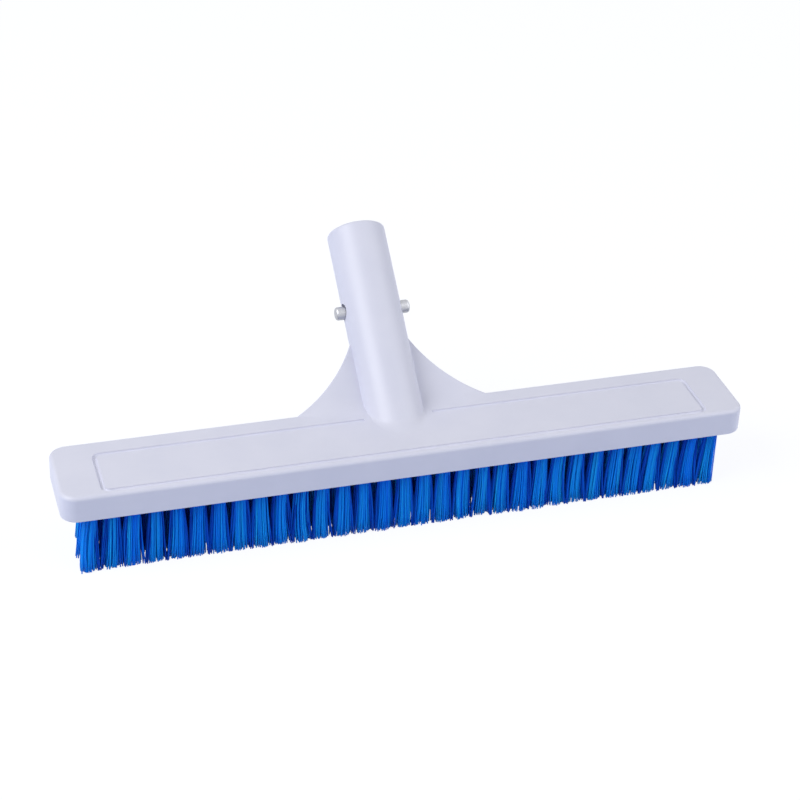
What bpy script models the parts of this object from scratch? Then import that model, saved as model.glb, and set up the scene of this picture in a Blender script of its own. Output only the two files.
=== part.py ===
"""Pool brush: a white moulded head with a raked pole socket, a spring clip with two snap buttons
inside the socket, and blue bristles set in columns along the underside.

The brush stands on its bristle tips. X runs along the head, Y runs back towards the mouth of the
socket and Z is up. The origin lies on the floor under the middle of the whole brush.
"""

import math

import bmesh
import bpy
from mathutils import Matrix, Vector

mm = 0.001

# Head: the flat block that carries the bristles
block_length = 335.0 * mm
block_width = 45.0 * mm
block_thickness = 13.5 * mm
block_corner_radius = 8.0 * mm
block_top_round = 2.0 * mm
block_bottom_round = 0.8 * mm
block_corner_steps = 8
block_round_steps = 4

# Socket: the raked tube that the pole slides over
socket_outer_radius = 14.5 * mm
socket_wall = 2.3 * mm
socket_rake = math.radians(52.0)
socket_length = 92.0 * mm
socket_floor_height = 6.0 * mm
socket_lip_round = 0.8 * mm
socket_heel_lift = 1.5 * mm
socket_sides = 48

# Socket foot: the fillet round the front of the tube, widest at its very front
foot_side_reach = 2.0 * mm
foot_front_reach = 6.0 * mm
foot_sweep = math.radians(84.0)
foot_fade_share = 0.95
foot_steps = 16

# Webs: the two gussets that hold the socket upright
web_half_span = 46.0 * mm
web_rise = 33.0 * mm
web_arc_radius = 80.0 * mm
web_thickness = 4.0 * mm
web_front_lead = 1.0 * mm
web_root_depth = 10.0 * mm
web_top_round = 0.8 * mm
web_fillet_reach = 7.0 * mm
web_run_out_depth = 4.0 * mm
web_arc_steps = 12
web_run_out_steps = 4
web_round_steps = 2

# Bristles: tufts in columns across the head, set in a recess in its underside
bristle_length = 30.0 * mm
tuft_columns = 32
tuft_end_inset = 9.1 * mm
tuft_rows = 4
tuft_row_inset = 6.75 * mm
recess_wall = 2.0 * mm
recess_depth = 5.0 * mm
strands_per_tuft = 3
strand_sides = 4
strand_root_spread = 1.7 * mm
strand_tip_spread = 2.6 * mm
strand_root_radius = 1.1 * mm
strand_tip_radius = 1.4 * mm
outer_row_lean = 2.0 * mm
end_column_lean = 2.0 * mm

# Clip: a bent strip of spring steel with a riveted button near the end of each leg
clip_thickness = 0.9 * mm
clip_width = 9.0 * mm
clip_end_reach = 8.5 * mm
clip_bow_steps = 16
button_height = 49.5 * mm
button_radius = 3.3 * mm
button_stand_out = 4.3 * mm
button_dome = 1.4 * mm
button_dome_steps = 3
button_sides = 24
rivet_neck_radius = 1.3 * mm
rivet_head_radius = 2.3 * mm
rivet_head_thickness = 0.8 * mm

# Clearances and overruns
seat_gap = 0.3 * mm
button_clearance = 0.8 * mm
cut_overrun = 1.0 * mm
root_overlap = 1.0 * mm
fillet_sink = 0.05 * mm
fillet_bury = 2.0 * mm
fillet_steps = 5

# Edges that turn less than this are shaded round
smooth_angle = math.radians(35)

# Sizes that follow from the ones above
underside = bristle_length
block_top = underside + block_thickness
bore_radius = socket_outer_radius - socket_wall
rake_back = math.sin(socket_rake)
rake_up = math.cos(socket_rake)
rim_back = block_width / 2 + socket_length * rake_back + (socket_outer_radius - socket_lip_round) * rake_up
middle_y = (rim_back - block_width / 2) / 2
block_back = block_width / 2 - middle_y
socket_root = Vector((0, block_back, block_top))
socket_axis = Vector((0, rake_back, rake_up))
socket_behind = Vector((0, rake_up, -rake_back))
leg_outer = math.sqrt((bore_radius - seat_gap) ** 2 - (clip_width / 2) ** 2)
leg_middle = leg_outer - clip_thickness / 2
bow_height = socket_floor_height + seat_gap + leg_outer
button_lever = button_height - bow_height
button_tip = socket_outer_radius + button_stand_out
press_angle = math.asin(button_stand_out / button_lever)
swing_shift = (button_tip - leg_middle) * math.sin(press_angle) / 2
web_foot = Vector((web_half_span, 0))
web_head = Vector((socket_outer_radius, web_rise))
web_chord = web_head - web_foot
web_outward = Vector((web_chord.y, -web_chord.x)).normalized()
web_arc_reach = math.sqrt(web_arc_radius ** 2 - web_chord.length_squared / 4)
web_arc_centre = (web_head + web_foot) / 2 + web_outward * web_arc_reach
web_foot_slope = (web_arc_centre.x - web_half_span) / web_arc_centre.y
web_run_out = web_half_span + web_run_out_depth / web_foot_slope
web_front_height = -web_front_lead * rake_back / rake_up
tuft_column_length = block_length - 2 * tuft_end_inset
tuft_pitch = tuft_column_length / tuft_columns
tuft_row_pitch = (block_width - 2 * tuft_row_inset) / (tuft_rows - 1)
recess_width = block_width - 2 * recess_wall


def clear_scene():
    for old in list(bpy.data.objects):
        bpy.data.objects.remove(old, do_unlink=True)


def material(name, colour, roughness, metallic):
    made = bpy.data.materials.new(name)
    made.use_nodes = True
    shader = made.node_tree.nodes["Principled BSDF"]
    shader.inputs["Base Color"].default_value = (*colour, 1)
    shader.inputs["Roughness"].default_value = roughness
    shader.inputs["Metallic"].default_value = metallic
    return made


def shade_round(mesh):
    """Shade a mesh smooth over its round stretches and keep its sharp edges."""
    mesh.shade_smooth()
    mesh.set_sharp_from_angle(angle=smooth_angle)


def object_from(shape, name):
    """Turn a bmesh into a named object with outward faces."""
    bmesh.ops.recalc_face_normals(shape, faces=shape.faces)
    mesh = bpy.data.meshes.new(name)
    shape.to_mesh(mesh)
    shape.free()
    shade_round(mesh)
    made = bpy.data.objects.new(name, mesh)
    bpy.context.scene.collection.objects.link(made)
    return made


def combine(body, tool, operation):
    """Apply a Boolean of the tool to the body and remove the tool."""
    step = body.modifiers.new(operation.title(), "BOOLEAN")
    step.operation = operation
    step.solver = "EXACT"
    step.object = tool
    bpy.context.view_layer.update()
    evaluated = body.evaluated_get(bpy.context.evaluated_depsgraph_get())
    old = body.data
    body.data = bpy.data.meshes.new_from_object(evaluated)
    body.data.name = body.name
    shade_round(body.data)
    body.modifiers.clear()
    bpy.data.meshes.remove(old)
    bpy.data.objects.remove(tool, do_unlink=True)


def extrude_face(shape, points, along):
    """Close a flat outline and pull it along a direction into a solid."""
    face = shape.faces.new([shape.verts.new(point) for point in points])
    pulled = bmesh.ops.extrude_face_region(shape, geom=[face])
    raised = [item for item in pulled["geom"] if isinstance(item, bmesh.types.BMVert)]
    bmesh.ops.translate(shape, verts=raised, vec=along)
    return raised


def rounded_outline(length, width, radius, steps, height):
    corners = ((1, 1, 0), (-1, 1, 1), (-1, -1, 2), (1, -1, 3))
    points = []
    for side_x, side_y, quarter in corners:
        for step in range(steps + 1):
            angle = (quarter + step / steps) * math.pi / 2
            x = side_x * (length / 2 - radius) + radius * math.cos(angle)
            y = side_y * (width / 2 - radius) + radius * math.sin(angle)
            points.append(Vector((x, y - middle_y, height)))
    return points


def box(name, size, low_corner):
    shape = bmesh.new()
    bmesh.ops.create_cube(shape, size=1)
    bmesh.ops.scale(shape, verts=shape.verts, vec=size)
    bmesh.ops.translate(shape, verts=shape.verts, vec=Vector(low_corner) + Vector(size) / 2)
    return object_from(shape, name)


def frame_matrix(origin, across, along):
    """Place a shape whose X is across and whose Z is along, with its origin at a point."""
    across = Vector(across).normalized()
    along = Vector(along).normalized()
    side = along.cross(across)
    turn = Matrix((across, side, along)).transposed().to_4x4()
    return Matrix.Translation(origin) @ turn


def turned(name, profile, sides, place):
    """Spin a profile of radius and height pairs into a closed solid about its own Z."""
    shape = bmesh.new()
    rings = []
    for radius, height in profile:
        ring = []
        for side in range(sides):
            angle = 2 * math.pi * side / sides
            ring.append(shape.verts.new((radius * math.cos(angle), radius * math.sin(angle), height)))
        rings.append(ring)
    for low, high in zip(rings, rings[1:]):
        for side in range(sides):
            after = (side + 1) % sides
            shape.faces.new((low[side], low[after], high[after], high[side]))
    shape.faces.new(rings[0])
    shape.faces.new(rings[-1])
    bmesh.ops.transform(shape, matrix=place, verts=shape.verts)
    return object_from(shape, name)


def along_socket(height, across=0, behind=0):
    """A point by its height up the socket from the head's top, its offset across and behind."""
    return socket_root + socket_axis * height + Vector((across, 0, 0)) + socket_behind * behind


def head_block():
    shape = bmesh.new()
    outline = rounded_outline(block_length, block_width, block_corner_radius, block_corner_steps, underside)
    raised = extrude_face(shape, outline, Vector((0, 0, block_thickness)))
    top_edges = [edge for edge in shape.edges if all(end in raised for end in edge.verts)]
    low_edges = [edge for edge in shape.edges if not any(end in raised for end in edge.verts)]
    bmesh.ops.bevel(shape, geom=top_edges, offset=block_top_round, segments=block_round_steps,
                    profile=0.5, affect="EDGES")
    low_edges = [edge for edge in low_edges if edge.is_valid]
    bmesh.ops.bevel(shape, geom=low_edges, offset=block_bottom_round, segments=1,
                    profile=0.5, affect="EDGES")
    return object_from(shape, "head_moulding")


def socket_tube():
    """The tube's outside, with its heel cut level just above the head's underside."""
    heel_run = (socket_outer_radius * rake_back + block_thickness) / rake_up
    profile = [
        (socket_outer_radius, -heel_run),
        (socket_outer_radius, socket_length - socket_lip_round),
        (socket_outer_radius - socket_lip_round, socket_length),
    ]
    tube = turned("socket_tube", profile, socket_sides, frame_matrix(socket_root, (1, 0, 0), socket_axis))
    shape = bmesh.new()
    shape.from_mesh(tube.data)
    everything = list(shape.verts) + list(shape.edges) + list(shape.faces)
    heel_level = Vector((0, block_back, underside + socket_heel_lift))
    cut = bmesh.ops.bisect_plane(shape, geom=everything, plane_co=heel_level, plane_no=(0, 0, 1),
                                 clear_inner=True)
    rim = [item for item in cut["geom_cut"] if isinstance(item, bmesh.types.BMEdge)]
    bmesh.ops.contextual_create(shape, geom=rim)
    bpy.data.objects.remove(tube, do_unlink=True)
    return object_from(shape, "socket_tube")


def lofted(name, sections):
    """A solid through closed sections that have equally many points."""
    shape = bmesh.new()
    rows = [[shape.verts.new(point) for point in section] for section in sections]
    for low, high in zip(rows, rows[1:]):
        for number in range(len(low)):
            after = (number + 1) % len(low)
            shape.faces.new((low[number], low[after], high[after], high[number]))
    shape.faces.new(rows[0])
    shape.faces.new(rows[-1])
    return object_from(shape, name)


def fillet_curve(start, corner, end):
    """A hollow curve that leaves the start and reaches the end along the two sides of a corner."""
    points = []
    for step in range(fillet_steps + 1):
        share = step / fillet_steps
        points.append(start * (1 - share) ** 2 + corner * 2 * share * (1 - share) + end * share ** 2)
    return points


def web_height(across):
    """How far up the socket the webs reach at a distance from the middle."""
    if across > web_half_span:
        return (web_half_span - across) * web_foot_slope
    beside = web_arc_centre.x - max(across, socket_outer_radius)
    return web_arc_centre.y - math.sqrt(web_arc_radius ** 2 - beside ** 2)


def web_section(across):
    """The webs' outline at one distance from the middle: a fillet in front, a rounded top, a buried root."""
    face_top = web_height(abs(across)) - web_top_round
    corner_height = min(web_front_height, face_top - fillet_sink)
    reach = min(max(face_top - corner_height, fillet_sink), web_fillet_reach)
    sink = Vector((0, 0, -fillet_sink))
    corner = along_socket(corner_height, across, -web_front_lead) + sink
    start = corner - Vector((0, reach, 0))
    section = fillet_curve(start, corner, corner + socket_axis * reach)
    back = web_thickness - web_front_lead
    rounds = [math.pi / 2 * step / web_round_steps for step in range(web_round_steps + 1)]
    for angle in rounds:
        height = face_top + web_top_round * math.sin(angle)
        section.append(along_socket(height, across, -web_front_lead + web_top_round * (1 - math.cos(angle))))
    for angle in reversed(rounds):
        height = face_top + web_top_round * math.sin(angle)
        section.append(along_socket(height, across, back - web_top_round * (1 - math.cos(angle))))
    section.append(along_socket(-web_root_depth, across, back))
    section.append(along_socket(-web_root_depth, across, -web_front_lead))
    section.append(start - Vector((0, 0, fillet_bury)))
    return section


def webs():
    """Both gussets as one loft across the head, hollow curved at the top and run out at the ends."""
    arc_run = web_half_span - socket_outer_radius
    places = [socket_outer_radius + arc_run * step / web_arc_steps for step in range(web_arc_steps + 1)]
    end_run = web_run_out - web_half_span
    places += [web_half_span + end_run * (step + 1) / web_run_out_steps for step in range(web_run_out_steps)]
    places = [-across for across in reversed(places)] + places
    return lofted("webs", [web_section(across) for across in places])


def foot_section(angle):
    """The foot's outline at an angle round the tube from its front."""
    outward = Vector((math.sin(angle), 0, 0)) - socket_behind * math.cos(angle)
    seam_height = -socket_outer_radius * math.cos(angle) * rake_back / rake_up
    seam = along_socket(seam_height) + outward * socket_outer_radius
    level = Vector((math.sin(angle), -math.cos(angle) * rake_up, 0)).normalized()
    fade = math.cos(angle / foot_sweep * math.pi / 2 * foot_fade_share)
    reach = fade * (foot_side_reach + (foot_front_reach - foot_side_reach) * math.cos(angle) ** 2)
    start = seam + socket_axis * reach - outward * fillet_sink
    end = seam + level * reach - Vector((0, 0, fillet_sink))
    section = fillet_curve(start, seam, end)
    section.append(end - Vector((0, 0, fillet_bury)))
    section.append(seam - socket_axis * fillet_bury * 2 - outward * fillet_bury)
    return section


def socket_foot():
    """The fillet between the front of the tube and the head's top, faded out beside the webs."""
    angles = [foot_sweep * (2 * step / foot_steps - 1) for step in range(foot_steps + 1)]
    return lofted("socket_foot", [foot_section(angle) for angle in angles])


def head_moulding(white):
    head = head_block()
    for part in (socket_tube(), socket_foot(), webs()):
        combine(head, part, "UNION")
    bore_place = frame_matrix(along_socket(socket_floor_height), (1, 0, 0), socket_axis)
    bore_depth = socket_length - socket_floor_height
    bore_profile = [(bore_radius, 0), (bore_radius, bore_depth + cut_overrun)]
    combine(head, turned("bore", bore_profile, socket_sides, bore_place), "DIFFERENCE")
    hole_radius = button_radius + button_clearance
    hole_reach = socket_outer_radius + cut_overrun
    hole_place = frame_matrix(along_socket(button_height + swing_shift), socket_axis, (1, 0, 0))
    hole_profile = [(hole_radius, -hole_reach), (hole_radius, hole_reach)]
    combine(head, turned("button_hole", hole_profile, button_sides, hole_place), "DIFFERENCE")
    recess_size = (tuft_column_length, recess_width, recess_depth + cut_overrun)
    recess_corner = (-tuft_column_length / 2, -middle_y - recess_width / 2, underside - cut_overrun)
    combine(head, box("recess", recess_size, recess_corner), "DIFFERENCE")
    head.data.materials.clear()
    head.data.materials.append(white)
    return head


def strand(shape, root, tip):
    """One tapered strand from above the head's underside down to the floor, cut flat there."""
    rings = []
    run = (tip - root) / (root.z - tip.z)
    start = root - run * root_overlap
    for point, radius in ((start, strand_root_radius), (tip, strand_tip_radius)):
        ring = []
        for side in range(strand_sides):
            angle = 2 * math.pi * (side + 0.5) / strand_sides
            ring.append(shape.verts.new(point + Vector((math.cos(angle), math.sin(angle), 0)) * radius))
        rings.append(ring)
    high, low = rings
    for side in range(strand_sides):
        after = (side + 1) % strand_sides
        shape.faces.new((low[side], low[after], high[after], high[side]))
    shape.faces.new(low)
    shape.faces.new(high)


def tuft_column_mesh(end_side):
    """A slice of backing with one tuft for each row. The end columns lean outwards."""
    slice_size = (tuft_pitch - seat_gap, recess_width - 2 * seat_gap, recess_depth - seat_gap)
    slice_corner = (-slice_size[0] / 2, -slice_size[1] / 2, underside)
    backing = box("backing", slice_size, slice_corner)
    shape = bmesh.new()
    for row in range(tuft_rows):
        row_share = 2 * row / (tuft_rows - 1) - 1
        centre = Vector((0, row_share * tuft_row_pitch * (tuft_rows - 1) / 2, 0))
        lean = Vector((end_side * end_column_lean, row_share * outer_row_lean, 0))
        for number in range(strands_per_tuft):
            angle = 2 * math.pi * (number + 0.25) / strands_per_tuft
            spread = Vector((math.cos(angle), math.sin(angle), 0))
            root = centre + spread * strand_root_spread + Vector((0, 0, underside))
            tip = centre + spread * strand_tip_spread + lean
            strand(shape, root, tip)
    combine(backing, object_from(shape, "strands"), "UNION")
    mesh = backing.data.copy()
    bpy.data.objects.remove(backing, do_unlink=True)
    return mesh


def tuft_columns_made(blue):
    meshes = {side: tuft_column_mesh(side) for side in (-1, 0, 1)}
    for mesh in meshes.values():
        mesh.materials.clear()
        mesh.materials.append(blue)
    for number in range(tuft_columns):
        end_side = -1 if number == 0 else 1 if number == tuft_columns - 1 else 0
        column = bpy.data.objects.new("tuft_column_%02d" % (number + 1), meshes[end_side])
        column.location = ((number - (tuft_columns - 1) / 2) * tuft_pitch, -middle_y, 0)
        bpy.context.scene.collection.objects.link(column)


def clip_bow(steel):
    """The closed end of the clip: a half ring of strip on the socket's floor."""
    shape = bmesh.new()
    outline = []
    for radius, order in ((leg_outer, 1), (leg_outer - clip_thickness, -1)):
        steps = range(clip_bow_steps + 1)[::order]
        for step in steps:
            angle = math.pi + math.pi * step / clip_bow_steps
            across = radius * math.cos(angle)
            outline.append(along_socket(bow_height + radius * math.sin(angle), across, -clip_width / 2))
    extrude_face(shape, outline, socket_behind * clip_width)
    bow = object_from(shape, "clip_bow")
    bow.data.materials.append(steel)


def clip_leg(name, side, steel, pivot):
    """A straight leg of strip, pierced for its button's rivet. Its origin is on the flexing root."""
    leg_start = bow_height + seat_gap
    leg_end = button_height + clip_end_reach
    inner = side * (leg_outer - clip_thickness)
    outer = side * leg_outer
    edge = clip_width / 2
    corners = ((inner, -edge), (inner, edge), (outer, edge), (outer, -edge))
    outline = [along_socket(leg_start, across, behind) for across, behind in corners]
    shape = bmesh.new()
    extrude_face(shape, outline, socket_axis * (leg_end - leg_start))
    leg = object_from(shape, name)
    hole_radius = rivet_neck_radius + seat_gap
    low = leg_outer - clip_thickness - cut_overrun
    high = leg_outer + cut_overrun
    place = frame_matrix(along_socket(button_height), socket_axis, (side, 0, 0))
    hole_profile = [(hole_radius, low), (hole_radius, high)]
    combine(leg, turned("rivet_hole", hole_profile, button_sides, place), "DIFFERENCE")
    leg.data.materials.clear()
    leg.data.materials.append(steel)
    attach(leg, pivot)


def snap_button(name, side, steel, pivot):
    """A domed button with the rivet that holds it through the leg."""
    shoulder = leg_outer + seat_gap
    rivet_top = leg_outer - clip_thickness - seat_gap
    profile = [
        (rivet_head_radius, rivet_top - rivet_head_thickness),
        (rivet_head_radius, rivet_top),
        (rivet_neck_radius, rivet_top),
        (rivet_neck_radius, shoulder),
        (button_radius, shoulder),
        (button_radius, button_tip - button_dome),
    ]
    for step in range(1, button_dome_steps + 1):
        angle = math.pi / 2 * step / button_dome_steps
        radius = button_radius - button_dome + button_dome * math.cos(angle)
        profile.append((radius, button_tip - button_dome + button_dome * math.sin(angle)))
    place = frame_matrix(along_socket(button_height), socket_axis, (side, 0, 0))
    button = turned(name, profile, button_sides, place)
    button.data.materials.append(steel)
    attach(button, pivot)


def attach(piece, pivot):
    """Parent a piece to its pivot and leave it where it was modelled."""
    piece.parent = pivot
    piece.matrix_parent_inverse = Matrix.Translation(-pivot.location)


def leg_pivot(name, side):
    pivot = bpy.data.objects.new(name, None)
    pivot.location = along_socket(bow_height, side * leg_middle)
    bpy.context.scene.collection.objects.link(pivot)
    return pivot


def build():
    clear_scene()
    white = material("white_moulding", (0.80, 0.80, 0.86), 0.35, 0)
    blue = material("blue_bristle", (0.0, 0.16, 0.70), 0.45, 0)
    strip_steel = material("spring_steel", (0.62, 0.62, 0.64), 0.3, 1)
    button_steel = material("button_steel", (0.55, 0.55, 0.58), 0.4, 1)
    head_moulding(white)
    tuft_columns_made(blue)
    clip_bow(strip_steel)
    for word, side in (("left", -1), ("right", 1)):
        pivot = leg_pivot("pivot_" + word, side)
        clip_leg("clip_leg_" + word, side, strip_steel, pivot)
        snap_button("clip_button_" + word, side, button_steel, pivot)
    mouth_ring = (bore_radius + socket_outer_radius - socket_lip_round) / 2
    print("press angle %.3f degrees" % math.degrees(press_angle))
    print("leg pivot", [round(value, 6) for value in along_socket(bow_height, leg_middle)])
    print("pivot axis", [round(value, 6) for value in socket_behind])
    print("point on the mouth's ring", [round(value, 6) for value in along_socket(socket_length, mouth_ring)])


build()
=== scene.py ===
# %% [markdown]
# # Pool brush
# A flat white head, moulded in one piece with a raked socket for a pole, carries rows of blue nylon tufts.
# Inside the socket a bent spring strip pushes two metal buttons out through its sides.
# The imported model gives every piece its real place. This lesson gives each piece its fine shape and finish.

import math

import bmesh
import bpy
import numpy as np
from mathutils import Matrix, Vector


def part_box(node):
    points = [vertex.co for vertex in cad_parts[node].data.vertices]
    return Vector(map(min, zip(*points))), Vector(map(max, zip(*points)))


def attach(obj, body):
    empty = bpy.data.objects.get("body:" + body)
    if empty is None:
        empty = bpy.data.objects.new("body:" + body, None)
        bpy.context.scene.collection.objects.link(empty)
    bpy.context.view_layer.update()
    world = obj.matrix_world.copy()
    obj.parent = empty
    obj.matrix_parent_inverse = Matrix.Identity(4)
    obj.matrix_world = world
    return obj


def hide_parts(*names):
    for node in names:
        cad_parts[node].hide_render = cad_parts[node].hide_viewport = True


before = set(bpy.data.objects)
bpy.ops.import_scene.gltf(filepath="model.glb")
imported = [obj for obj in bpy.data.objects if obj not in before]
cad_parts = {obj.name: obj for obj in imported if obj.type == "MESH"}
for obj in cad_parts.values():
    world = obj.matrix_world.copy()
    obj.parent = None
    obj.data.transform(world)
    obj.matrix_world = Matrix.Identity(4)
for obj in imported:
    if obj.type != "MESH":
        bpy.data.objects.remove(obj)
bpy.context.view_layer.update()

# %% [markdown]
# ## Sizes
# All lengths are in metres. The block's place is read from the frame, so that the fine head lies where the
# packed one does. The socket leaves the block's top at its back edge and leans back beyond it.

# %% Sizes of the head and the socket
mm = 0.001
head_low, head_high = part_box("head_moulding")
block_length = head_high.x - head_low.x
block_width = 45.0 * mm
block_thickness = 13.5 * mm
underside = head_low.z
block_top = underside + block_thickness
block_front = head_low.y
block_back = block_front + block_width
block_middle = (block_front + block_back) / 2

socket_radius = 14.5 * mm
socket_length = 92.0 * mm
socket_rake = math.radians(52.0)
rake_back = math.sin(socket_rake)
rake_up = math.cos(socket_rake)
socket_root = Vector((0, block_back, block_top))
socket_axis = Vector((0, rake_back, rake_up))
socket_behind = Vector((0, rake_up, -rake_back))

# Turns that stand a bar up along the socket's axis, or lay it across the socket.
raked = (-socket_rake, 0, 0)
crosswise = (0, math.pi / 2, 0)


def up_socket(height, across=0.0, behind=0.0):
    """A point by its height up the socket from the block's top, its offset across and behind."""
    return socket_root + socket_axis * height + Vector((across, 0, 0)) + socket_behind * behind


def height_up(point):
    """How far up the socket's axis a point lies."""
    return (Vector(point) - socket_root).dot(socket_axis)


print("block %.1f x %.1f x %.1f mm" % (block_length / mm, block_width / mm, block_thickness / mm))

# %% [markdown]
# ## Camera
# The photograph looks down on the brush from the front left. The camera's place, turn and lens come from
# fitting a pinhole camera to the block's edges and the tufts, so a near match is a matter of sizes alone.
# The view is built from three directions, right, up and look, and then rolled a little.

# %% Camera
camera_place = Vector((-252.7, -839.4, 585.6)) * mm
camera_yaw = math.radians(17.359)
camera_pitch = math.radians(32.144)
camera_roll = math.radians(2.229)
camera_lens = 94.034
camera_near = 10 * mm

look = Vector((math.sin(camera_yaw) * math.cos(camera_pitch),
               math.cos(camera_yaw) * math.cos(camera_pitch),
               -math.sin(camera_pitch)))
level_right = Vector((math.cos(camera_yaw), -math.sin(camera_yaw), 0))
level_up = level_right.cross(look)
view_right = level_right * math.cos(camera_roll) + level_up * math.sin(camera_roll)
view_up = level_up * math.cos(camera_roll) - level_right * math.sin(camera_roll)
view_turn = Matrix((view_right, view_up, -look)).transposed().to_4x4()

bpy.ops.object.camera_add()
camera = bpy.context.object
camera.matrix_world = Matrix.Translation(camera_place) @ view_turn
camera.data.lens = camera_lens
camera.data.clip_start = camera_near
bpy.context.scene.camera = camera
bpy.context.scene.view_settings.view_transform = "Standard"
camera_distance = (camera_place - Vector((0, block_middle, block_top))).length
print("camera %.0f mm from the block's middle" % (camera_distance / mm))

# %% [markdown]
# ## Working by hand in code
# An operator acts on whatever is selected, so each step first selects nothing. Edges are then selected by
# their place, which reads better than their numbers and still works when a size changes.

# %% Helpers for selecting and making
tiny = 0.01 * mm


def start_fresh():
    """Leave edit mode and select nothing."""
    if bpy.context.object and bpy.context.object.mode != "OBJECT":
        bpy.ops.object.mode_set(mode="OBJECT")
    bpy.ops.object.select_all(action="DESELECT")


def choose(piece):
    """Select one piece alone and make it the active one."""
    start_fresh()
    piece.select_set(True)
    bpy.context.view_layer.objects.active = piece


def place_in_mesh(piece):
    """Move a new primitive's place, turn and scale into its mesh."""
    choose(piece)
    bpy.ops.object.transform_apply(location=True, rotation=True, scale=True)


def add_slab(size, middle, turn=(0, 0, 0)):
    """A cube primitive of a given size."""
    start_fresh()
    bpy.ops.mesh.primitive_cube_add(size=1, location=middle, rotation=turn, scale=size)
    made = bpy.context.object
    place_in_mesh(made)
    return made


def add_bar(sides, radius, length, middle, turn=(0, 0, 0)):
    """A cylinder primitive, which stands upright unless it is turned."""
    start_fresh()
    bpy.ops.mesh.primitive_cylinder_add(vertices=sides, radius=radius, depth=length,
                                        location=middle, rotation=turn)
    made = bpy.context.object
    place_in_mesh(made)
    return made


def solid_from(name, rings):
    """A loft through rings of equally many points, with an end face at both ends."""
    shape = bmesh.new()
    rows = [[shape.verts.new(point) for point in ring] for ring in rings]
    for low, high in zip(rows, rows[1:]):
        for number in range(len(low)):
            after = (number + 1) % len(low)
            shape.faces.new((low[number], low[after], high[after], high[number]))
    shape.faces.new(rows[0])
    shape.faces.new(rows[-1])
    bmesh.ops.recalc_face_normals(shape, faces=shape.faces)
    mesh = bpy.data.meshes.new(name)
    shape.to_mesh(mesh)
    shape.free()
    made = bpy.data.objects.new(name, mesh)
    bpy.context.scene.collection.objects.link(made)
    return made


print("helpers for selecting and making ready")

# %% Helpers for shaping and combining


def select_edges(piece, wanted):
    """Go into edit mode with the edges selected whose two end points pass a test."""
    choose(piece)
    bpy.ops.object.mode_set(mode="EDIT")
    bpy.ops.mesh.select_mode(type="EDGE")
    bpy.ops.mesh.select_all(action="DESELECT")
    shape = bmesh.from_edit_mesh(piece.data)
    chosen = [edge for edge in shape.edges if wanted(edge.verts[0].co, edge.verts[1].co)]
    for edge in chosen:
        edge.select_set(True)
    bmesh.update_edit_mesh(piece.data)
    return len(chosen)


def round_edges(piece, wanted, radius, segments):
    """Bevel the edges that pass a test."""
    count = select_edges(piece, wanted)
    if count:
        bpy.ops.mesh.bevel(offset=radius, segments=segments, profile=0.5, affect="EDGES")
    bpy.ops.object.mode_set(mode="OBJECT")
    return count


def round_rim(piece, end, radius, segments):
    """Bevel the rim of a bar that lies across the socket, at the end with this X."""
    return round_edges(piece, lambda a, b: abs(a.x - end) < tiny and abs(b.x - end) < tiny, radius, segments)


def combine(body, tool, operation):
    """Unite a tool with the body or cut it away, and remove the tool."""
    choose(body)
    step = body.modifiers.new(operation.title(), "BOOLEAN")
    step.operation = operation
    step.solver = "EXACT"
    step.object = tool
    bpy.ops.object.modifier_apply(modifier=step.name)
    bpy.data.objects.remove(tool, do_unlink=True)


def fillet_curve(start, corner, end, steps):
    """Points of a hollow curve that leaves the start and reaches the end along the corner's two sides."""
    points = []
    for step in range(steps + 1):
        share = step / steps
        points.append(start * (1 - share) ** 2 + corner * 2 * share * (1 - share) + end * share ** 2)
    return points


print("helpers for shaping and combining ready")

# %% [markdown]
# ## The block
# The block is a slab with rounded upright corners, a soft top edge and a barely broken bottom edge. A cube
# primitive scaled to size and bevelled three times gives true arcs. Subdivision would round all edges alike.

# %% The block
corner_radius = 8.0 * mm
top_round = 2.0 * mm
bottom_round = 0.8 * mm

head = add_slab((block_length, block_width, block_thickness), (0, block_middle, (underside + block_top) / 2))
head.name = "head_shell"
upright = round_edges(head, lambda a, b: abs(a.z - b.z) > block_thickness / 2, corner_radius, segments=14)
around_top = round_edges(head, lambda a, b: min(a.z, b.z) > block_top - tiny, top_round, segments=8)
around_bottom = round_edges(head, lambda a, b: max(a.z, b.z) < underside + tiny, bottom_round, segments=3)
print("block: bevelled", upright, "upright,", around_top, "top and", around_bottom, "bottom edges")

# %% [markdown]
# ## The socket
# The socket is a tube that leans back at 52 degrees from upright. Its lower end is buried in the block and
# its heel, which overhangs behind the block, is cut level. A cylinder primitive, turned once and bisected
# by a level plane, does this in two steps.

# %% The socket's outside
heel_rise = 1.5 * mm
heel_level = underside + heel_rise
heel_run = (socket_radius * rake_back + block_thickness) / rake_up
lip_round = 1.25 * mm
socket_sides = 96

tube_middle = up_socket((socket_length - heel_run) / 2)
tube = add_bar(socket_sides, socket_radius, socket_length + heel_run, tube_middle, raked)
bpy.ops.object.mode_set(mode="EDIT")
bpy.ops.mesh.select_all(action="SELECT")
bpy.ops.mesh.bisect(plane_co=(0, block_back, heel_level), plane_no=(0, 0, 1), use_fill=True, clear_inner=True)
bpy.ops.object.mode_set(mode="OBJECT")
mouth_low = socket_length - tiny
lip = round_edges(tube, lambda a, b: min(height_up(a), height_up(b)) > mouth_low, lip_round, segments=4)
print("socket: lip of", lip, "edges,", len(tube.data.polygons), "faces")

# %% [markdown]
# ## The socket's foot
# A moulded tube never meets its base in a sharp corner. The foot here is a narrow collar with a hollow
# section that runs round the front of the tube. Where the tube meets the flat top the seam is an ellipse, so
# the collar is lofted from sections set along it. Bevelling the seam after a Boolean would do the same, but
# it fails where the webs cross it.

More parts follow.
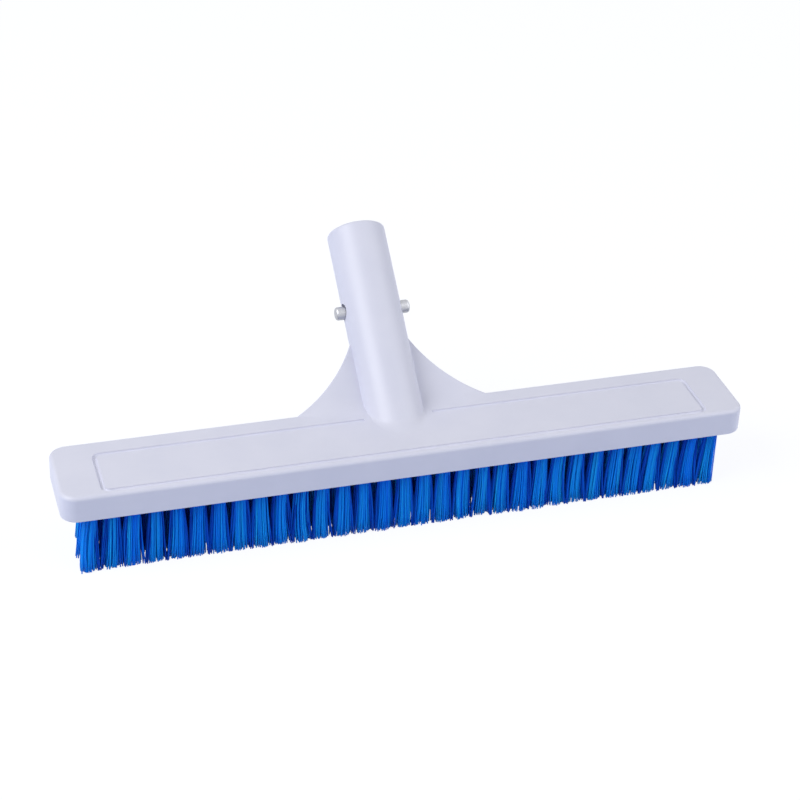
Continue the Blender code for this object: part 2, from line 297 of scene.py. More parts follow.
# %% The socket's foot
foot_side_reach = 2.0 * mm
foot_front_reach = 6.0 * mm
foot_bury = 2.0 * mm
foot_sweep = math.radians(84)
foot_fade_share = 0.95
foot_sections = 48
foot_curve_steps = 8
tuck = 0.03 * mm


def foot_section(angle):
    """One section of the collar at an angle round the tube from its front."""
    outward = Vector((math.sin(angle), 0, 0)) - socket_behind * math.cos(angle)
    seam = up_socket(-socket_radius * math.cos(angle) * rake_back / rake_up) + outward * socket_radius
    level_out = Vector((math.sin(angle), -math.cos(angle) * rake_up, 0)).normalized()
    fade = math.cos(angle / foot_sweep * math.pi / 2 * foot_fade_share)
    reach = fade * (foot_side_reach + (foot_front_reach - foot_side_reach) * math.cos(angle) ** 2)
    start = seam + socket_axis * reach - outward * tuck
    end = seam + level_out * reach - Vector((0, 0, tuck))
    section = fillet_curve(start, seam, end, foot_curve_steps)
    section.append(end - Vector((0, 0, foot_bury)))
    section.append(seam - socket_axis * foot_bury * 2 - outward * foot_bury)
    return section


foot_angles = np.linspace(-foot_sweep, foot_sweep, foot_sections + 1)
foot = solid_from("foot", [foot_section(angle) for angle in foot_angles])
print("foot:", len(foot.data.polygons), "faces")

# %% [markdown]
# ## The webs
# Two gussets hold the socket against side loads. They lie in the socket's raked plane and flow into the
# block's top. Their height falls along an arc of 80 mm and then runs out straight into the block's edge.
# Cutting a bar with a drum and bevelling it makes the short bevels overlap where the webs run out, so the
# webs are lofted from sections across the block. Each has a hollow front, a rounded top and a buried root.

# %% The webs' outline
web_half_span = 46.0 * mm
web_rise = 33.0 * mm
web_arc_radius = 80.0 * mm
web_run_out_depth = 4.0 * mm

chord = Vector((socket_radius - web_half_span, web_rise))
chord_middle = Vector((socket_radius + web_half_span, web_rise)) / 2
arc_reach = math.sqrt(web_arc_radius ** 2 - chord.length_squared / 4)
arc_centre = chord_middle + Vector((chord.y, -chord.x)).normalized() * arc_reach
foot_slope = (arc_centre.x - web_half_span) / arc_centre.y
run_out = web_half_span + web_run_out_depth / foot_slope


def web_height(across):
    """How far up the socket the webs reach at a distance from the middle."""
    if across > web_half_span:
        return (web_half_span - across) * foot_slope
    return arc_centre.y - math.sqrt(web_arc_radius ** 2 - (arc_centre.x - max(across, socket_radius)) ** 2)


print("webs run out %.1f mm from the middle" % (run_out / mm))

# %% The webs
web_thickness = 4.0 * mm
web_lead = 1.0 * mm
web_root_depth = 10.0 * mm
web_fillet_reach = 7.0 * mm
web_fillet_steps = 10
web_top_round = 0.8 * mm
web_top_steps = 4
web_top_turns = np.linspace(0, math.pi / 2, web_top_steps + 1)
arc_sections = 40
run_out_sections = 12
level_height = -web_lead * rake_back / rake_up


def web_section(across):
    """The webs' outline at one distance from the middle: hollow front, rounded top, back and root."""
    face_top = web_height(abs(across)) - web_top_round
    corner_height = min(level_height, face_top - tuck)
    reach = min(max(face_top - corner_height, tuck), web_fillet_reach)
    corner = up_socket(corner_height, across, -web_lead) - Vector((0, 0, tuck))
    start = corner - Vector((0, reach, 0))
    outline = fillet_curve(start, corner, corner + socket_axis * reach, web_fillet_steps)
    back = web_thickness - web_lead
    for wall, inward, turns in ((-web_lead, 1, web_top_turns), (back, -1, web_top_turns[::-1])):
        for turn in turns:
            height = face_top + web_top_round * math.sin(turn)
            outline.append(up_socket(height, across, wall + inward * web_top_round * (1 - math.cos(turn))))
    outline.append(up_socket(-web_root_depth, across, back))
    outline.append(up_socket(-web_root_depth, across, -web_lead))
    outline.append(start - Vector((0, 0, foot_bury)))
    return outline


along_arc = np.linspace(socket_radius, web_half_span, arc_sections + 1)
along_run_out = np.linspace(web_half_span, run_out, run_out_sections + 1)[1:]
outward = np.append(along_arc, along_run_out)
stations = [-across for across in reversed(outward)] + list(outward)
webs = solid_from("webs", [web_section(across) for across in stations])
print("webs:", len(stations), "sections")

# %% [markdown]
# ## One moulding
# The head is one piece of plastic, so its parts are united. The exact Boolean solver is slow but it keeps
# the bevels. The bore and the button hole are cut after that, through tube and collar together.

# %% Unite the head and cut its bore
bore_radius = 12.2 * mm
socket_floor = 6.0 * mm
overrun = 1.0 * mm

for part in (tube, foot, webs):
    combine(head, part, "UNION")

bore_run = socket_length - socket_floor + overrun
bore = add_bar(socket_sides, bore_radius, bore_run, up_socket(socket_floor + bore_run / 2), raked)
combine(head, bore, "DIFFERENCE")
print("head:", len(head.data.polygons), "faces after the bore")

# %% [markdown]
# ## The spring clip's sizes
# The clip is a strip bent into a narrow U. Its legs press outwards and each carries a button. A pressed
# button swings round the root of its leg, so its hole lies a little nearer the mouth than the button does.

# %% The clip's sizes and the button hole
seat_gap = 0.3 * mm
strip_thickness = 0.9 * mm
strip_width = 9.0 * mm
leg_outer = math.sqrt((bore_radius - seat_gap) ** 2 - (strip_width / 2) ** 2)
leg_middle = leg_outer - strip_thickness / 2
bow_height = socket_floor + seat_gap + leg_outer
button_height = 49.5 * mm
button_radius = 3.3 * mm
button_clearance = 0.8 * mm
button_stand_out = 4.3 * mm
button_sides = 48
button_tip = socket_radius + button_stand_out
press_angle = math.asin(button_stand_out / (button_height - bow_height))
swing_shift = (button_tip - leg_middle) * math.sin(press_angle) / 2

hole = add_bar(button_sides, button_radius + button_clearance, 2 * (socket_radius + overrun),
               up_socket(button_height + swing_shift), crosswise)
combine(head, hole, "DIFFERENCE")
print("button hole %.1f mm up the socket" % ((button_height + swing_shift) / mm))

# %% [markdown]
# ## The border line
# A groove 2.2 mm wide is engraved round the block's top, close to the front edge and further in at the back
# and the ends, and it stops at the socket. A tube along its route is cut from the top to nearly half its
# thickness, because a shallower hollow of the same width catches the light and shows pale instead of dark.
# The route starts as a plane whose corners are bevelled, and turning it into a curve gives it the tube's
# thickness.

# %% The border line
border_end_inset = 20.0 * mm
border_back_inset = 11.5 * mm
border_front_inset = 3.5 * mm
border_corner = 3.0 * mm
border_tube_radius = 1.1 * mm
border_depth = 1.05 * mm
border_stop = 17.0 * mm
border_steps = 6

border_middle = block_middle + (border_front_inset - border_back_inset) / 2
border_length = block_length - 2 * border_end_inset
border_width = block_width - border_front_inset - border_back_inset
border_lift = border_tube_radius - border_depth

start_fresh()
bpy.ops.mesh.primitive_plane_add(size=1, location=(0, border_middle, block_top + border_lift))
route = bpy.context.object
route.scale = (border_length, border_width, 1)
place_in_mesh(route)
bpy.ops.object.mode_set(mode="EDIT")
bpy.ops.mesh.select_all(action="SELECT")
bpy.ops.mesh.bevel(offset=border_corner, segments=border_steps, affect="VERTICES")
bpy.ops.mesh.delete(type="ONLY_FACE")
bpy.ops.object.mode_set(mode="OBJECT")
bpy.ops.object.convert(target="CURVE")
route.data.bevel_depth = border_tube_radius
route.data.bevel_resolution = border_steps
bpy.ops.object.convert(target="MESH")

stop_depth = block_width / 2
gap = add_slab((2 * border_stop, stop_depth, block_thickness), (0, block_middle + stop_depth / 2, block_top))
combine(route, gap, "DIFFERENCE")
combine(head, route, "DIFFERENCE")
print("border line cut, head has", len(head.data.polygons), "faces")

# %% [markdown]
# ## Tuft holes
# The underside is drilled for the tufts. One cylinder is repeated by two Array modifiers and cut in one
# Boolean, which is much quicker than a cut for each hole.

# %% Tuft holes
tuft_columns = 32
tuft_rows = 4
tuft_end_margin = 9.1 * mm
tuft_side_margin = 6.75 * mm
tuft_pitch = (block_length - 2 * tuft_end_margin) / tuft_columns
row_pitch = (block_width - 2 * tuft_side_margin) / (tuft_rows - 1)
hole_radius = 3.5 * mm
hole_depth = 5.0 * mm
hole_sides = 24

first_x = -(tuft_columns - 1) / 2 * tuft_pitch
first_y = block_middle - (tuft_rows - 1) / 2 * row_pitch
drills = add_bar(hole_sides, hole_radius, 2 * hole_depth, (first_x, first_y, underside))
for count, step in ((tuft_columns, (tuft_pitch, 0, 0)), (tuft_rows, (0, row_pitch, 0))):
    repeat = drills.modifiers.new("Repeat", "ARRAY")
    repeat.count = count
    repeat.use_relative_offset = False
    repeat.use_constant_offset = True
    repeat.constant_offset_displace = step
    bpy.ops.object.modifier_apply(modifier=repeat.name)
combine(head, drills, "DIFFERENCE")
print("tuft holes:", tuft_columns * tuft_rows)

# %% [markdown]
# ## Shading the head
# Smooth shading alone would bend the light across the large flat faces. Marking edges over a set angle as
# sharp and then weighting each corner's normal by the size of its faces keeps flats flat and rounds round.

# %% Shade a hard piece
shade_angle = math.radians(32)
weld_distance = tiny / 10
face_weight = 100


def shade_hard(piece):
    """Smooth the rounds, keep the sharp edges and let the large flat faces rule the normals."""
    choose(piece)
    bpy.ops.object.mode_set(mode="EDIT")
    bpy.ops.mesh.select_all(action="SELECT")
    bpy.ops.mesh.remove_doubles(threshold=weld_distance)
    bpy.ops.mesh.dissolve_degenerate(threshold=weld_distance)
    bpy.ops.object.mode_set(mode="OBJECT")
    bpy.ops.object.shade_smooth_by_angle(angle=shade_angle)
    weigh = piece.modifiers.new("Weigh", "WEIGHTED_NORMAL")
    weigh.keep_sharp = True
    weigh.weight = face_weight
    bpy.ops.object.modifier_apply(modifier=weigh.name)


shade_hard(head)
print("head:", len(head.data.vertices), "points,", len(head.data.polygons), "faces")

# %% [markdown]
# ## White moulded plastic
# The moulding has a satin skin. Its colour is a cool white that wanders very slightly where the plastic
# flowed, and its surface has a grain too fine to see except in the highlights. All patterns read Object
# coordinates, so they keep their size in metres.

# %% Helpers for materials
noise_low = 0.3
noise_high = 0.7


def new_finish(name):
    """A material with its node tree, its Principled shader and its Object coordinates."""
    finish = bpy.data.materials.new(name)
    finish.use_nodes = True
    tree = finish.node_tree
    place = tree.nodes.new("ShaderNodeTexCoord")
    return finish, tree, tree.nodes["Principled BSDF"], place.outputs["Object"]


def add_noise(tree, place, scale, detail):
    """A noise whose values lie mostly between noise_low and noise_high."""
    noise = tree.nodes.new("ShaderNodeTexNoise")
    noise.inputs["Scale"].default_value = scale
    noise.inputs["Detail"].default_value = detail
    tree.links.new(place, noise.inputs["Vector"])
    return noise.outputs["Fac"]


def add_ramp(tree, value, stops):
    """A colour ramp through pairs of place and colour."""
    ramp = tree.nodes.new("ShaderNodeValToRGB")
    while len(ramp.color_ramp.elements) < len(stops):
        ramp.color_ramp.elements.new(1)
    for element, (place, colour) in zip(ramp.color_ramp.elements, stops):
        element.position = place
        element.color = (*colour, 1)
    tree.links.new(value, ramp.inputs["Fac"])
    return ramp.outputs["Color"]


def add_range(tree, value, low, high):
    """Spread a noise over a range of numbers."""
    spread = tree.nodes.new("ShaderNodeMapRange")
    spread.inputs["From Min"].default_value = noise_low
    spread.inputs["From Max"].default_value = noise_high
    spread.inputs["To Min"].default_value = low
    spread.inputs["To Max"].default_value = high
    tree.links.new(value, spread.inputs["Value"])
    return spread.outputs["Result"]


def add_bump(tree, shader, value, depth, strength):
    """Let a noise raise and sink the surface a little."""
    bump = tree.nodes.new("ShaderNodeBump")
    bump.inputs["Distance"].default_value = depth
    bump.inputs["Strength"].default_value = strength
    tree.links.new(value, bump.inputs["Height"])
    tree.links.new(bump.outputs["Normal"], shader.inputs["Normal"])


def hand_over(piece, finish, body, slot, *nodes):
    """Dress a finished piece in its finish, hang it on its body's empty and hide the imported parts it
    replaces.
    """
    piece.data.materials.clear()
    piece.data.materials.append(finish)
    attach(piece, body)
    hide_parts(*nodes)


print("helpers for materials ready")

# %% White moulded plastic
deeper_white = (0.695, 0.710, 0.845)
paler_white = (0.730, 0.742, 0.870)

white_plastic, tree, shader, place = new_finish("white_plastic")
flow = add_noise(tree, place, scale=45, detail=3)
grain = add_noise(tree, place, scale=3200, detail=2)
tree.links.new(add_ramp(tree, flow, [(noise_low, deeper_white), (noise_high, paler_white)]),
               shader.inputs["Base Color"])
tree.links.new(add_range(tree, flow, low=0.34, high=0.44), shader.inputs["Roughness"])
add_bump(tree, shader, grain, depth=0.02 * mm, strength=0.35)
hand_over(head, white_plastic, "head", "white_moulding", "head_moulding")
print("head dressed")

# %% [markdown]
# ## Blue nylon
# Each filament is a stiff nylon hair with a soft gloss. A tuft is never one flat blue: every filament takes
# its own tone.
# Each filament is also painted darker towards its root, which is painted shade for the shadow under the head
# and deep in the tufts. The few filaments that stray into the gaps between tufts take the darkest colours,
# which is painted shade that draws each gap as a dark line. Each filament keeps its tone, or a stray's
# painted shade, in U and its place from root to tip in V of the piece's UV map, and the colour is read from
# those two. A random value for each object would be simpler, but it would need an object for every filament.

# %% Blue nylon
# The ramp's first stop is painted shade, taken only by the strays in the gaps; the other stops are the
# filaments' own tone.
filament_tones_and_gap_shade = [(0.0, (0.000, 0.070, 0.560)), (0.12, (0.001, 0.220, 1.000)),
                   (0.5, (0.004, 0.310, 1.000)), (1.0, (0.010, 0.460, 1.000))]
# Painted shade: these colours darken each filament towards its root, where the head and the tuft shade it.
painted_root_shade_stops = [(0.0, (0.60, 0.65, 0.92)), (0.35, (0.92, 0.94, 1.00)), (1.0, (1.0, 1.0, 1.0))]
nylon_gloss = 0.1

blue_nylon, tree, shader, place = new_finish("blue_nylon")
strand_map = tree.nodes.new("ShaderNodeUVMap")
strand_map.uv_map = "strand"
split = tree.nodes.new("ShaderNodeSeparateXYZ")
tree.links.new(strand_map.outputs["UV"], split.inputs["Vector"])
tone_and_painted_gap_shade = add_ramp(tree, split.outputs["X"], filament_tones_and_gap_shade)
painted_root_shade_colour = add_ramp(tree, split.outputs["Y"], painted_root_shade_stops)
blend = tree.nodes.new("ShaderNodeMix")
blend.data_type = "RGBA"
blend.blend_type = "MULTIPLY"
blend.inputs["Factor"].default_value = 1
# A Mix node keeps its colours in inputs 6 and 7 and gives its colour from output 2.
tree.links.new(tone_and_painted_gap_shade, blend.inputs[6])
tree.links.new(painted_root_shade_colour, blend.inputs[7])
tree.links.new(blend.outputs[2], shader.inputs["Base Color"])
gloss_noise = add_noise(tree, place, scale=900, detail=2)
tree.links.new(add_range(tree, gloss_noise, low=0.38, high=0.52), shader.inputs["Roughness"])
shader.inputs["Specular IOR Level"].default_value = nylon_gloss
print("blue nylon ready")

# %% [markdown]
# ## Bristles
# A tuft is a bunch of filaments folded into its hole. They leave the hole packed tight, cling together in
# clumps and spread towards the tips, which are cut level. Tufts that press against each other fill a square
# rather than a circle, so the tips are spread to a squarish outline. One filament in six strays into the
# gap beside its tuft, and it is painted dark as painted shade for that gap.
#
# One filament is modelled, a four-sided rod of a few faces, and copied into place with arrays of points,
# because thousands of operator calls would take an hour. A particle system could do it too, but it would
# not export as a mesh. Each column of four tufts is one piece, as it is in the imported model.

# %% One filament
filament_radius = 0.30 * mm
filament_sides = 4
filament_cuts = 3

# This rod hangs one metre down from the origin. Each copy is fitted between its own root and tip.
filament = add_bar(filament_sides, filament_radius, 1, (0, 0, -0.5))
select_edges(filament, lambda a, b: abs(a.z - b.z) > 0.5)
bpy.ops.mesh.subdivide(number_cuts=filament_cuts)
bpy.ops.object.mode_set(mode="OBJECT")
rod_points = np.array([vert.co for vert in filament.data.vertices])
rod_faces = [list(face.vertices) for face in filament.data.polygons]
bpy.data.objects.remove(filament, do_unlink=True)
print("filament:", len(rod_points), "points and", len(rod_faces), "faces")

# %% The tufts' sizes
filaments_per_tuft = 120
clumps_per_tuft = 7
clump_reach = 0.8
root_depth = 3.0 * mm
root_radius = 3.1 * mm
outer_tip_radius = 3.9 * mm
inner_tip_radius = 5.3 * mm
tip_radius_factors = (0.94, 1.03)
tip_squareness = 0.6
tip_unevenness = 0.3 * mm

# How far the tips lean. A fade is the number of columns over which a lean falls to about a third.
outer_row_lean = 0.5 * mm
inner_row_lean = 1.6 * mm
first_column_lean = 3.0 * mm
first_column_fade = 3
last_column_lean = 2.4 * mm
back_row_lean = 5.0 * mm
back_row_fade = 2

# How far tufts, clumps and filaments wander from their places, and how much a tuft draws in at half height.
tuft_wander = 0.30 * mm
tuft_wave = 0.35 * mm
tuft_waist = 0.3 * mm
clump_wander = 0.28 * mm
filament_wander = 0.22 * mm

# Places on the nylon's ramp, from 0 for the darkest to 1 for the palest. Below the lower limit lies painted
# gap shade, which only the strays take.
clump_shades = (0.35, 0.85)
shade_wander = 0.15
shade_limits = (0.12, 1)

# Strays: their tips across and outwards from their tuft's middle, their roots as shares of its root radius.
stray_step = 6
stray_tip_across = (4.0 * mm, 5.2 * mm)
stray_tip_outward = (-0.5 * mm, 3.9 * mm)
stray_root_across = (0.6, 0.9)
stray_root_outward = (0.0, 0.4)
# The strays' places on the ramp are painted shade, dark as the shaded gaps they fill.
stray_painted_shade = (0.0, 0.06)

golden_angle = math.pi * (3 - math.sqrt(5))
dice_seed = 7
dice = np.random.default_rng(dice_seed)
print("tufts of", filaments_per_tuft, "filaments in", clumps_per_tuft, "clumps")

# %% One tuft


def add_wander(places, clump):
    """Move each clump as one, and then each filament by itself."""
    places += dice.normal(0, clump_wander, (clumps_per_tuft, 2))[clump]
    places += dice.normal(0, filament_wander, (filaments_per_tuft, 2))


def tuft_strands(centre, lean, tip_radius, stray_sides, facing):
    """Roots, tips, bends and shades of one tuft's filaments."""
    number = np.arange(filaments_per_tuft)
    angle = number * golden_angle
    heading = np.stack([np.cos(angle), np.sin(angle)], axis=1)
    spread = heading * np.sqrt((number + 0.5) / filaments_per_tuft)[:, None]
    squared = spread / np.abs(heading).max(axis=1)[:, None] ** tip_squareness
    seeds = dice.uniform(-clump_reach, clump_reach, (clumps_per_tuft, 2))
    clump = np.argmin(((spread[:, None, :] - seeds[None, :, :]) ** 2).sum(axis=2), axis=1)

    roots, tips, bends = np.zeros((3, filaments_per_tuft, 3))
    roots[:, :2] = centre + spread * root_radius
    roots[:, 2] = underside + root_depth
    flare = tip_radius * dice.uniform(*tip_radius_factors)
    drift = dice.normal(0, tuft_wander, 2) + lean
    tips[:, :2] = centre + drift + squared * flare
    add_wander(tips[:, :2], clump)
    bends[:, :2] = dice.normal(0, tuft_wave, 2) - spread * tuft_waist
    add_wander(bends[:, :2], clump)
    tips[:, 2] = dice.uniform(0, tip_unevenness, filaments_per_tuft) ** 2 / tip_unevenness
    shades = dice.uniform(*clump_shades, clumps_per_tuft)[clump]
    shades = np.clip(shades + dice.normal(0, shade_wander, filaments_per_tuft), *shade_limits)

    stray = number[stray_step - 1::stray_step]
    count = len(stray)
    side = dice.choice(stray_sides, count)
    tips[stray, 0] = centre[0] + lean[0] + side * dice.uniform(*stray_tip_across, count)
    tips[stray, 1] = centre[1] + lean[1] + facing * dice.uniform(*stray_tip_outward, count)
    roots[stray, 0] = centre[0] + side * root_radius * dice.uniform(*stray_root_across, count)
    roots[stray, 1] = centre[1] + facing * root_radius * dice.uniform(*stray_root_outward, count)
    # Painted shade: the strays take the darkest colours, standing in for the shade in the gaps.
    shades[stray] = dice.uniform(*stray_painted_shade, count)
    return roots, tips, bends, shades


print("a tuft has", len(range(stray_step - 1, filaments_per_tuft, stray_step)), "strays")

# %% One column of tufts


def column_lean(column):
    """How far a column's tips lean along the head. The first few lean outwards and the last ones inwards."""
    share = column / (tuft_columns - 1)
    first_lean = first_column_lean * math.exp(-column / first_column_fade)
    return -first_lean - last_column_lean * max(2 * share - 1, 0)


def column_strands(column):
    """The filaments of one column's tufts, from the front row to the back one."""
    centre_x = (column - (tuft_columns - 1) / 2) * tuft_pitch
    stray_sides = [side for side in (-1, 1) if 0 <= column + side < tuft_columns]
    tufts = []
    for row in range(tuft_rows):
        outer = row in (0, tuft_rows - 1)
        row_share = 2 * row / (tuft_rows - 1) - 1
        facing = math.copysign(1, row_share)
        centre = np.array((centre_x, block_middle + row_share * row_pitch * (tuft_rows - 1) / 2))
        hidden_share = math.exp(-column / back_row_fade) * row / (tuft_rows - 1)
        lean = np.array((column_lean(column) + hidden_share * back_row_lean,
                         facing * (outer_row_lean if outer else inner_row_lean)))
        tip_radius = outer_tip_radius if outer else inner_tip_radius
        tufts.append(tuft_strands(centre, lean, tip_radius, stray_sides, facing))
    return [np.concatenate(group) for group in zip(*tufts)]


def column_piece(name, column):
    """One column of four tufts as a mesh of bent filaments."""
    roots, tips, bends, shades = column_strands(column)
    along = -rod_points[:, 2]
    points = np.repeat(roots[:, None, :], len(along), axis=1)
    points += (tips - roots)[:, None, :] * along[None, :, None]
    points += bends[:, None, :] * np.sin(along * math.pi)[None, :, None]
    points[:, :, :2] += rod_points[None, :, :2]
    faces = []
    uv = []
    for strand, shade in enumerate(shades):
        first = strand * len(rod_points)
        for face in rod_faces:
            faces.append([first + corner for corner in face])
            uv += [(shade, along[corner]) for corner in face]
    mesh = bpy.data.meshes.new(name)
    mesh.from_pydata(points.reshape(-1, 3).tolist(), [], faces)
    layer = mesh.uv_layers.new(name="strand")
    layer.data.foreach_set("uv", np.array(uv, dtype=np.float32).ravel())
    mesh.shade_smooth()
    piece = bpy.data.objects.new(name, mesh)
    bpy.context.scene.collection.objects.link(piece)
    return piece


print("a column has", tuft_rows * filaments_per_tuft, "filaments")

# %% All columns
for column in range(tuft_columns):
    piece = column_piece("bristles_%02d" % (column + 1), column)
    hand_over(piece, blue_nylon, "head", "blue_bristle", "tuft_column_%02d" % (column + 1))
print("bristles:", tuft_columns, "columns of", tuft_rows, "tufts,",
      tuft_columns * tuft_rows * filaments_per_tuft, "filaments")

# %% [markdown]
# ## Spring steel and button metal
# The strip is rolled, so its fine lines run along it. The buttons are turned and tumbled, with a greyer,
# duller skin. Both are metallic, and a stretched noise sets how rough each spot is.

# %% Steel finishes
line_darkening = 0.86


def steel_finish(name, colour, stretch, low_rough, high_rough):
    """A metal whose fine lines are a noise, turned with the socket and stretched along it."""
    finish, tree, shader, place = new_finish(name)
    turn = tree.nodes.new("ShaderNodeMapping")
    turn.inputs["Rotation"].default_value = (socket_rake, 0, 0)
    turn.inputs["Scale"].default_value = stretch
    tree.links.new(place, turn.inputs["Vector"])
    lines = add_noise(tree, turn.outputs["Vector"], scale=900, detail=3)
    darker = [channel * line_darkening for channel in colour]
    tree.links.new(add_ramp(tree, lines, [(noise_low, darker), (noise_high, colour)]),
                   shader.inputs["Base Color"])
    tree.links.new(add_range(tree, lines, low_rough, high_rough), shader.inputs["Roughness"])
    shader.inputs["Metallic"].default_value = 1
    add_bump(tree, shader, lines, depth=0.02 * mm, strength=0.3)
    return finish


spring_steel = steel_finish("spring_steel_strip", colour=(0.62, 0.62, 0.64), stretch=(1, 1, 0.06),
                            low_rough=0.22, high_rough=0.36)
button_metal = steel_finish("button_metal", colour=(0.55, 0.56, 0.60), stretch=(1, 1, 1),
                            low_rough=0.38, high_rough=0.54)
print("steel finishes ready")

# %% [markdown]
# ## The spring clip
# The bow is made as a smith would: a short flat of strip is swept half a turn. The legs are straight
# flats with their ends rounded, and each is pierced for its button's rivet.

# %% The bow
bow_steps = 32

start_fresh()
bpy.ops.mesh.primitive_plane_add(size=1, location=up_socket(bow_height, -leg_middle), rotation=raked)
bow = bpy.context.object
bow.name = "clip_bow_strip"
bow.scale = (strip_thickness, strip_width, 1)
place_in_mesh(bow)
bpy.ops.object.mode_set(mode="EDIT")
bpy.ops.mesh.select_all(action="SELECT")
bpy.ops.mesh.spin(steps=bow_steps, angle=math.pi, center=up_socket(bow_height), axis=socket_behind)
bpy.ops.mesh.select_all(action="SELECT")
bpy.ops.mesh.normals_make_consistent(inside=False)
bpy.ops.object.mode_set(mode="OBJECT")
print("bow spans", [round(value / mm, 1) for value in bow.dimensions])

# %% The legs
leg_start = bow_height + seat_gap
leg_beyond_button = 8.5 * mm
leg_end = button_height + leg_beyond_button
leg_end_round = 3.0 * mm
neck_radius = 1.3 * mm
neck_sides = 32
pierce_length = 4 * strip_thickness


def at_leg_end(a, b):
    """The two short edges at a leg's free end, which run through the strip's thickness."""
    return min(height_up(a), height_up(b)) > leg_end - tiny and abs(a.x - b.x) > tiny


legs = {}
for word, side in (("left", -1), ("right", 1)):
    leg = add_slab((strip_thickness, strip_width, leg_end - leg_start),
                   up_socket((leg_start + leg_end) / 2, side * leg_middle), raked)
    leg.name = "clip_leg_strip_" + word
    round_edges(leg, at_leg_end, leg_end_round, segments=6)
    pierce = add_bar(neck_sides, neck_radius + seat_gap, pierce_length,
                     up_socket(button_height, side * leg_middle), crosswise)
    combine(leg, pierce, "DIFFERENCE")
    legs[word] = leg
print("legs made:", sorted(legs))

# %% [markdown]
# ## The snap buttons
# A button is a short pin with a domed end, and a thinner neck goes through the leg to a rivet head. The
# dome is a cylinder's edge bevelled by nearly half its radius, with the flat in its middle left bright.

# %% The buttons
button_dome = 1.4 * mm
rivet_radius = 2.3 * mm
rivet_thickness = 0.8 * mm
shoulder = leg_outer + seat_gap
rivet_top = leg_outer - strip_thickness - seat_gap
rivet_end = rivet_top - rivet_thickness


def button_bar(sides, radius, low, high, side):
    """A cylinder on the button's axis between two distances from the socket's middle."""
    middle = up_socket(button_height, side * (low + high) / 2)
    return add_bar(sides, radius, high - low, middle, (0, side * math.pi / 2, 0))


buttons = {}
for word, side in (("left", -1), ("right", 1)):
    button = button_bar(button_sides, button_radius, shoulder, button_tip, side)
    button.name = "snap_button_" + word
    round_rim(button, side * button_tip, button_dome, segments=7)
    neck = button_bar(neck_sides, neck_radius, rivet_top - rivet_thickness / 2, shoulder + seat_gap, side)
    combine(button, neck, "UNION")
    rivet = button_bar(neck_sides, rivet_radius, rivet_end, rivet_top, side)
    round_rim(rivet, side * rivet_end, rivet_thickness / 2, segments=3)
    combine(button, rivet, "UNION")
    buttons[word] = button

for piece in (bow, *legs.values(), *buttons.values()):
    shade_hard(piece)
hand_over(bow, spring_steel, "head", "spring_steel", "clip_bow")
for word in ("left", "right"):
    hand_over(legs[word], spring_steel, word + "_leg", "spring_steel", "clip_leg_" + word)
    hand_over(buttons[word], button_metal, word + "_leg", "button_steel", "clip_button_" + word)
print("clip and buttons dressed")

# %% [markdown]
# ## Floor and light
# The photograph shows the brush on plain white. The floor is a large pale blue plane. For the camera alone
# its paint is mixed with a white glow, so that it shows white but keeps a soft, cool shadow. The world is
# plain white for the camera and much dimmer as a light. Stronger lamps would whiten the floor too, but they
# would also wash out the shading of the brush.

# %% The floor
floor_size = 8
floor_drop = 0.2 * mm
floor_colour = (0.62, 0.69, 0.89, 1)
floor_glow = 1.13
floor_glow_share = 0.80

start_fresh()
bpy.ops.mesh.primitive_plane_add(size=floor_size, location=(0, 0, -floor_drop))
floor = bpy.context.object
floor.name = "floor"


def seen_directly(tree):
    """One where a ray comes from the camera, a gloss or a glass, and zero elsewhere."""
    path = tree.nodes.new("ShaderNodeLightPath")
    seen = path.outputs["Is Camera Ray"]
    for ray in ("Is Glossy Ray", "Is Transmission Ray"):
        larger = tree.nodes.new("ShaderNodeMath")
        larger.operation = "MAXIMUM"
        tree.links.new(seen, larger.inputs[0])
        tree.links.new(path.outputs[ray], larger.inputs[1])
        seen = larger.outputs["Value"]
    return seen


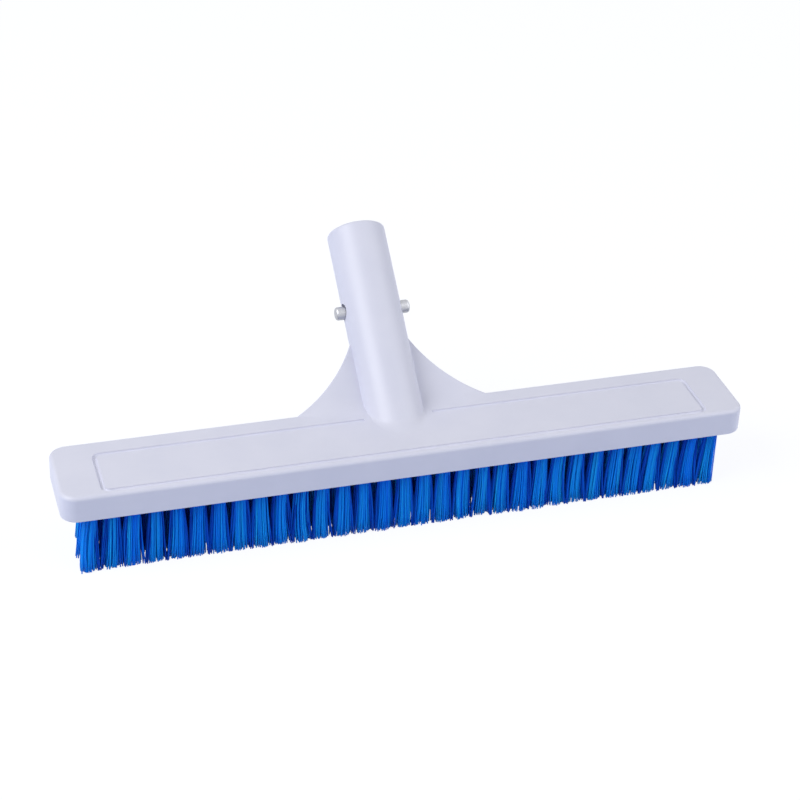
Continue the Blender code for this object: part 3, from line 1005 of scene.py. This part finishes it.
floor_paint = bpy.data.materials.new("floor_paint")
floor_paint.use_nodes = True
tree = floor_paint.node_tree
paint = tree.nodes["Principled BSDF"]
paint.inputs["Base Color"].default_value = floor_colour
paint.inputs["Roughness"].default_value = 1
paint.inputs["Specular IOR Level"].default_value = 0
glow = tree.nodes.new("ShaderNodeEmission")
glow.inputs["Strength"].default_value = floor_glow
mixed = tree.nodes.new("ShaderNodeMixShader")
share = tree.nodes.new("ShaderNodeMath")
share.operation = "MULTIPLY"
share.inputs[1].default_value = floor_glow_share
tree.links.new(seen_directly(tree), share.inputs[0])
tree.links.new(share.outputs["Value"], mixed.inputs["Fac"])
tree.links.new(paint.outputs["BSDF"], mixed.inputs[1])
tree.links.new(glow.outputs["Emission"], mixed.inputs[2])
tree.links.new(mixed.outputs["Shader"], tree.nodes["Material Output"].inputs["Surface"])
floor.data.materials.append(floor_paint)
print("floor ready")

# %% The world
sky_light = 0.27
sky_seen = 1.0

world = bpy.data.worlds.new("studio")
bpy.context.scene.world = world
world.use_nodes = True
tree = world.node_tree
strength = tree.nodes.new("ShaderNodeMapRange")
strength.inputs["To Min"].default_value = sky_light
strength.inputs["To Max"].default_value = sky_seen
tree.links.new(seen_directly(tree), strength.inputs["Value"])
tree.nodes["Background"].inputs["Color"].default_value = (1, 1, 1, 1)
tree.links.new(strength.outputs["Result"], tree.nodes["Background"].inputs["Strength"])
print("world ready")

# %% [markdown]
# ## Lamps
# Two large soft lamps stand to the left and the right, both a little in front of the brush. The left one is
# smaller, higher and stronger, so the top and the left of the socket are lighter than its right side, as in
# the photograph. Their strength is set so that the white plastic shows as bright as it does there.

# %% Lamps
lamp_target = Vector((0, block_middle, block_top))


def soft_lamp(name, place, size, watts):
    """A square area lamp that faces the brush."""
    bpy.ops.object.light_add(type="AREA", location=place)
    lamp = bpy.context.object
    lamp.name = name
    lamp.data.shape = "SQUARE"
    lamp.data.size = size
    lamp.data.energy = watts
    lamp.rotation_euler = (lamp_target - Vector(place)).to_track_quat("-Z", "Y").to_euler()


soft_lamp("key_lamp", place=(-1.25, -0.22, 1.20), size=1.2, watts=20.2)
soft_lamp("fill_lamp", place=(1.25, -0.60, 0.90), size=1.8, watts=13.2)
print("lamps placed")
